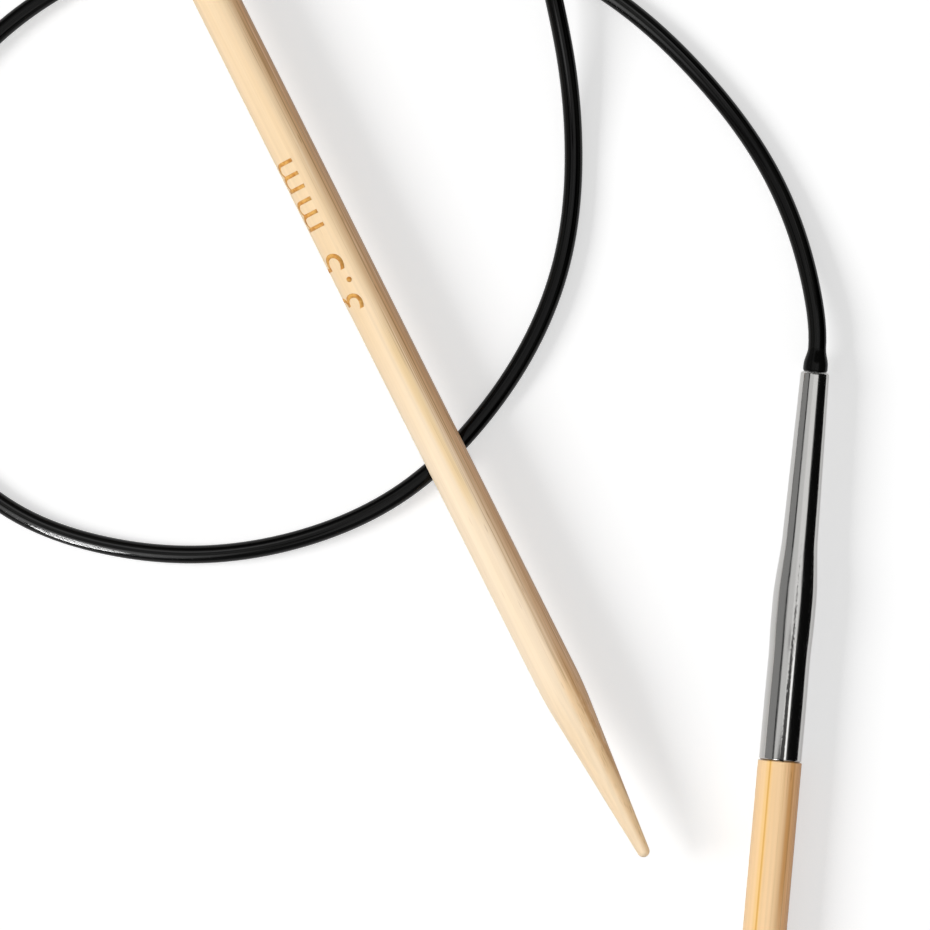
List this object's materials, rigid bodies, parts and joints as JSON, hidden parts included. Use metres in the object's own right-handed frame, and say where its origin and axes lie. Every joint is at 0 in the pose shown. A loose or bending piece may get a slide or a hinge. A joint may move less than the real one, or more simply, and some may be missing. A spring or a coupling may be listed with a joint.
{
  "type": "circular knitting needle",
  "caption": "Circular knitting needle: slim pointed bamboo tips in tapered metal ferrules, joined by a long flexible black cord on which each tip can spin.",
  "frame": {"origin": "on the table top that the needle lies on, under the centre of the two tips' footprint (cord and collars left out)", "axes": "+Z up from the table; +Y along the length of the lying needle, away from the right tip's point and towards the cord's far bend; +X to the right when the needle is seen from above with +Y up"},
  "size_m": [0.0764, 0.2364, 0.0053],
  "materials": {
    "bamboo": "turned bamboo, sanded and waxed to a soft sheen",
    "nickel_plate": "drawn brass tube, nickel plated and polished",
    "pin_steel": "turned steel",
    "collar_plastic": "moulded black plastic, satin gloss",
    "cord_plastic": "extruded black nylon tube, gloss"
  },
  "bodies": {
    "cord": {"cord": "cord_plastic", "left_cord_collar": "collar_plastic", "right_cord_collar": "collar_plastic", "left_swivel_pin": "pin_steel", "right_swivel_pin": "pin_steel"},
    "left_tip": {"left_bamboo_shaft": "bamboo", "left_ferrule": "nickel_plate"},
    "right_tip": {"right_bamboo_shaft": "bamboo", "right_ferrule": "nickel_plate"}
  },
  "joints": [
    {"name": "left_tip_spin", "type": "hinge", "parent": "cord", "child": "left_tip", "pos_m": [-0.0359, 0.10295, 0.00351], "axis": [-0.4478, 0.8942, 0], "continuous": true},
    {"name": "right_tip_spin", "type": "hinge", "parent": "cord", "child": "right_tip", "pos_m": [0.03577, 0.02509, 0.00174], "axis": [0.0898, 0.996, 0], "continuous": true}
  ]
}
